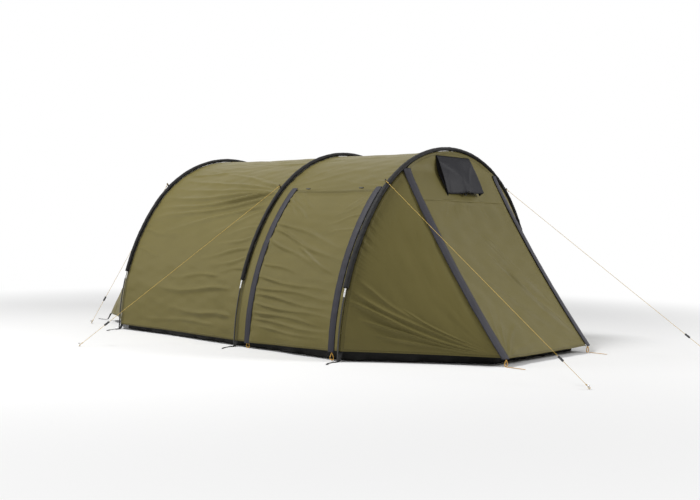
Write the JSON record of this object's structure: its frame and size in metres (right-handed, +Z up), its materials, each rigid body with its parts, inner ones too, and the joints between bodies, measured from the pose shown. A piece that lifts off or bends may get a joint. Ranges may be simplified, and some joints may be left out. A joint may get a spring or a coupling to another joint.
{
  "type": "tunnel tent",
  "caption": "Tunnel tent on arched poles: olive fly in dark sleeves, slanted porch with a front door and hooded vent, side doors, inner cabin, mud skirt and pegged guylines.",
  "frame": {"origin": "on the ground under the middle of the tent, half way between the front and rear strap ends", "axes": "+Z up, the slanted porch and front door face -Y, +X is to the right seen from the porch"},
  "size_m": [3.632, 4.393, 1.313],
  "materials": {
    "olive_fly": "coated ripstop-free polyester, satin",
    "black_sleeve": "woven nylon sleeve",
    "zip_flap": "dark grey storm flap",
    "vent_fabric": "dark coated fabric, slight sheen",
    "mesh": "insect mesh",
    "webbing": "black polypropylene webbing",
    "skirt": "black coated polyethylene",
    "inner_fabric": "breathable uncoated polyester",
    "gold_elastic": "gold elastic cord",
    "gold_cord": "thin gold braided line",
    "fibreglass": "black fibreglass rod",
    "steel": "zinc-plated steel",
    "zip_plastic": "black nylon coil and slider",
    "runner_plastic": "black moulded plastic"
  },
  "bodies": {
    "tent": {"door_bay_roof": "olive_fly", "door_tie_toggles": "webbing", "elastic_peg_loops": "gold_elastic", "foot_pins_and_rings": "steel", "foot_pull_straps": "webbing", "foot_webbing_tabs": "webbing", "front_apron": "olive_fly", "front_corner_straps": "gold_elastic", "front_door_zips": "zip_plastic", "front_pole": "fibreglass", "front_pole_ferrules": "steel", "front_pole_sleeve": "black_sleeve", "front_storm_flaps": "zip_flap", "guy_pegs": "steel", "guy_tabs": "webbing", "inner_cabin": "inner_fabric", "inner_hangers": "inner_fabric", "inner_rear_wall": "inner_fabric", "inner_tub_floor": "skirt", "left_front_guyline": "gold_cord", "left_middle_guyline": "gold_cord", "left_porch_panel": "olive_fly", "left_rear_guyline": "gold_cord", "middle_pole": "fibreglass", "middle_pole_ferrules": "steel", "middle_pole_sleeve": "black_sleeve", "mud_skirt": "skirt", "porch_groundsheet": "skirt", "rear_bay_fly": "olive_fly", "rear_corner_straps": "webbing", "rear_panel": "olive_fly", "rear_pole": "fibreglass", "rear_pole_ferrules": "steel", "rear_pole_sleeve": "black_sleeve", "right_front_guyline": "gold_cord", "right_middle_guyline": "gold_cord", "right_porch_panel": "olive_fly", "right_rear_guyline": "gold_cord", "side_door_storm_flaps": "zip_flap", "side_door_zips": "zip_plastic", "vent_mesh": "mesh"},
    "left_side_door": {"left_side_door": "olive_fly"},
    "left_rear_zip_slider": {"left_rear_zip_slider": "zip_plastic"},
    "left_front_zip_slider": {"left_front_zip_slider": "zip_plastic"},
    "left_front_door_slider": {"left_front_door_slider": "zip_plastic"},
    "left_front_runner": {"left_front_runner": "runner_plastic"},
    "left_middle_runner": {"left_middle_runner": "runner_plastic"},
    "left_rear_runner": {"left_rear_runner": "runner_plastic"},
    "right_side_door": {"right_side_door": "olive_fly"},
    "right_rear_zip_slider": {"right_rear_zip_slider": "zip_plastic"},
    "right_front_zip_slider": {"right_front_zip_slider": "zip_plastic"},
    "right_front_door_slider": {"right_front_door_slider": "zip_plastic"},
    "right_front_runner": {"right_front_runner": "runner_plastic"},
    "right_middle_runner": {"right_middle_runner": "runner_plastic"},
    "right_rear_runner": {"right_rear_runner": "runner_plastic"},
    "front_door": {"front_door": "olive_fly"},
    "vent_hood": {"vent_hood": "vent_fabric"},
    "vent_strut": {"vent_strut": "runner_plastic"},
    "inner_door": {"inner_door": "inner_fabric"}
  },
  "joints": [
    {"name": "left_side_door_roll_up", "type": "hinge", "parent": "tent", "child": "left_side_door", "pos_m": [-0.65743, -0.586, 1.01], "axis": [0, 1, 0], "range_deg": [0, 95]},
    {"name": "left_rear_side_zip", "type": "hinge", "parent": "tent", "child": "left_rear_zip_slider", "pos_m": [0.46718, -0.218, 0], "axis": [0, 1, 0], "range_deg": [0, 32]},
    {"name": "left_front_side_zip", "type": "hinge", "parent": "tent", "child": "left_front_zip_slider", "pos_m": [0.46718, -0.954, 0], "axis": [0, 1, 0], "range_deg": [0, 32]},
    {"name": "left_front_door_zip", "type": "slide", "parent": "tent", "child": "left_front_door_slider", "axis": [0, 0.5643, 0.8256], "range_m": [0, 1.03]},
    {"name": "left_front_runner_slide", "type": "slide", "parent": "tent", "child": "left_front_runner", "axis": [0.0749, 0.8073, 0.5854], "range_m": [-0.12, 0.9]},
    {"name": "left_middle_runner_slide", "type": "slide", "parent": "tent", "child": "left_middle_runner", "axis": [0.6809, -0.3733, 0.6301], "range_m": [-0.12, 0.8]},
    {"name": "left_rear_runner_slide", "type": "slide", "parent": "tent", "child": "left_rear_runner", "axis": [0.2923, -0.3781, 0.8784], "range_m": [-0.12, 0.5]},
    {"name": "right_side_door_roll_up", "type": "hinge", "parent": "tent", "child": "right_side_door", "pos_m": [0.65743, -0.586, 1.01], "axis": [0, -1, 0], "range_deg": [0, 95]},
    {"name": "right_rear_side_zip", "type": "hinge", "parent": "tent", "child": "right_rear_zip_slider", "pos_m": [-0.46718, -0.218, 0], "axis": [0, -1, 0], "range_deg": [0, 32]},
    {"name": "right_front_side_zip", "type": "hinge", "parent": "tent", "child": "right_front_zip_slider", "pos_m": [-0.46718, -0.954, 0], "axis": [0, -1, 0], "range_deg": [0, 32]},
    {"name": "right_front_door_zip", "type": "slide", "parent": "tent", "child": "right_front_door_slider", "axis": [0, 0.5643, 0.8256], "range_m": [0, 1.03]},
    {"name": "right_front_runner_slide", "type": "slide", "parent": "tent", "child": "right_front_runner", "axis": [-0.0749, 0.8073, 0.5854], "range_m": [-0.12, 0.9]},
    {"name": "right_middle_runner_slide", "type": "slide", "parent": "tent", "child": "right_middle_runner", "axis": [-0.6809, -0.3733, 0.6301], "range_m": [-0.12, 0.8]},
    {"name": "right_rear_runner_slide", "type": "slide", "parent": "tent", "child": "right_rear_runner", "axis": [-0.2923, -0.3781, 0.8784], "range_m": [-0.12, 0.5]},
    {"name": "front_door_roll_up", "type": "hinge", "parent": "tent", "child": "front_door", "pos_m": [0, -1.15455, 0.965], "axis": [-1, 0, 0], "range_deg": [0, 90]},
    {"name": "vent_hood_lift", "type": "hinge", "parent": "tent", "child": "vent_hood", "pos_m": [0, -1.0325, 1.25], "axis": [-1, 0, 0], "range_deg": [0, 40]},
    {"name": "vent_strut_fold", "type": "hinge", "parent": "tent", "child": "vent_strut", "pos_m": [0, -1.13713, 1], "axis": [-1, 0, 0], "range_deg": [0, 85]},
    {"name": "inner_door_swing", "type": "hinge", "parent": "tent", "child": "inner_door", "pos_m": [-0.4, -0.033, 0.5], "axis": [0, 0, -1], "range_deg": [0, 100]}
  ]
}
